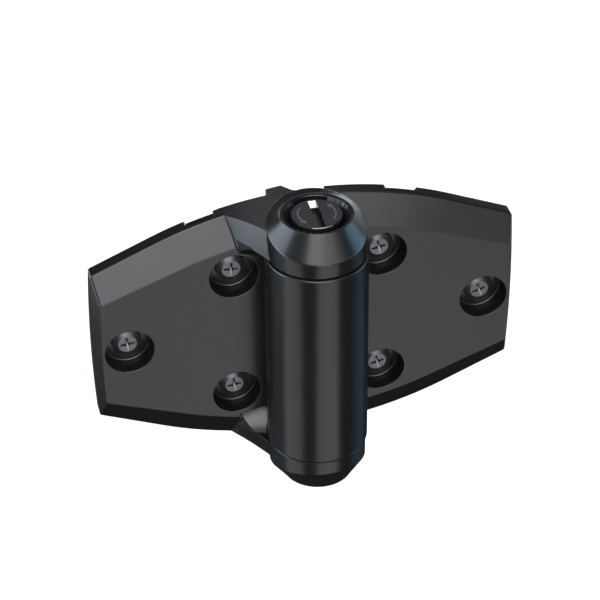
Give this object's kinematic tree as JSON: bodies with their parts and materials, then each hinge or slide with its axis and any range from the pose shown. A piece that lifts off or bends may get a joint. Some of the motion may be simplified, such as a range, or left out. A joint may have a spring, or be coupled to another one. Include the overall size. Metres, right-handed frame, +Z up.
{
  "type": "self-closing gate hinge",
  "caption": "Self-closing gate hinge in black plastic: bow-tie leaves on a round spring barrel, with capped knuckles and a slotted tension cap.",
  "frame": {"origin": "on the swing axis, level with the middle height of the leaves", "axes": "+Z up along the swing axis, +X from the swing axis towards the post leaf's tip, +Y towards the post and gate that the leaves' backs lie on"},
  "size_m": [0.171, 0.0652, 0.1234],
  "materials": {
    "body_black": "fine grained satin",
    "cap_black": "satin",
    "screw_black": "satin, bare at the drive",
    "bearing_nylon": "smooth",
    "housing_nylon": "smooth",
    "washer_black": "smooth",
    "spring_steel": "drawn",
    "stainless": "turned",
    "cast_zinc": "cast",
    "seal_rubber": "smooth"
  },
  "bodies": {
    "post": {"post_leaf": "body_black", "post_screws": "screw_black", "upper_bush": "bearing_nylon", "lower_bush": "bearing_nylon", "upper_washer": "washer_black", "lower_washer": "washer_black", "spring_anchor": "cast_zinc", "spring_sleeve": "bearing_nylon", "torsion_spring": "spring_steel"},
    "gate": {"gate_leaf": "body_black", "gate_screws": "screw_black", "index_ring": "cap_black", "adjuster_housing": "housing_nylon", "spindle": "stainless", "spindle_clip": "spring_steel", "lower_pin": "housing_nylon", "end_plug": "cap_black"},
    "arbor": {"spring_arbor": "cast_zinc", "return_spring": "spring_steel"},
    "cap": {"adjuster": "cap_black", "adjuster_seal": "seal_rubber"}
  },
  "joints": [
    {"name": "swing", "type": "hinge", "parent": "post", "child": "gate", "pos_m": [0, 0, 0], "axis": [0, 0, 1], "range_deg": [0, 180], "stiffness_Nm_per_rad": 0.8, "springref_deg": -51.57, "deforming": ["torsion_spring"]},
    {"name": "tension", "type": "hinge", "parent": "gate", "child": "arbor", "pos_m": [0, 0, 0], "axis": [0, 0, 1], "range_deg": [0, 180]},
    {"name": "push", "type": "slide", "parent": "arbor", "child": "cap", "axis": [0, 0, -1], "range_m": [0, 0.0025], "stiffness_N_per_m": 4000, "springref_m": -0.0025, "deforming": ["return_spring"]}
  ]
}
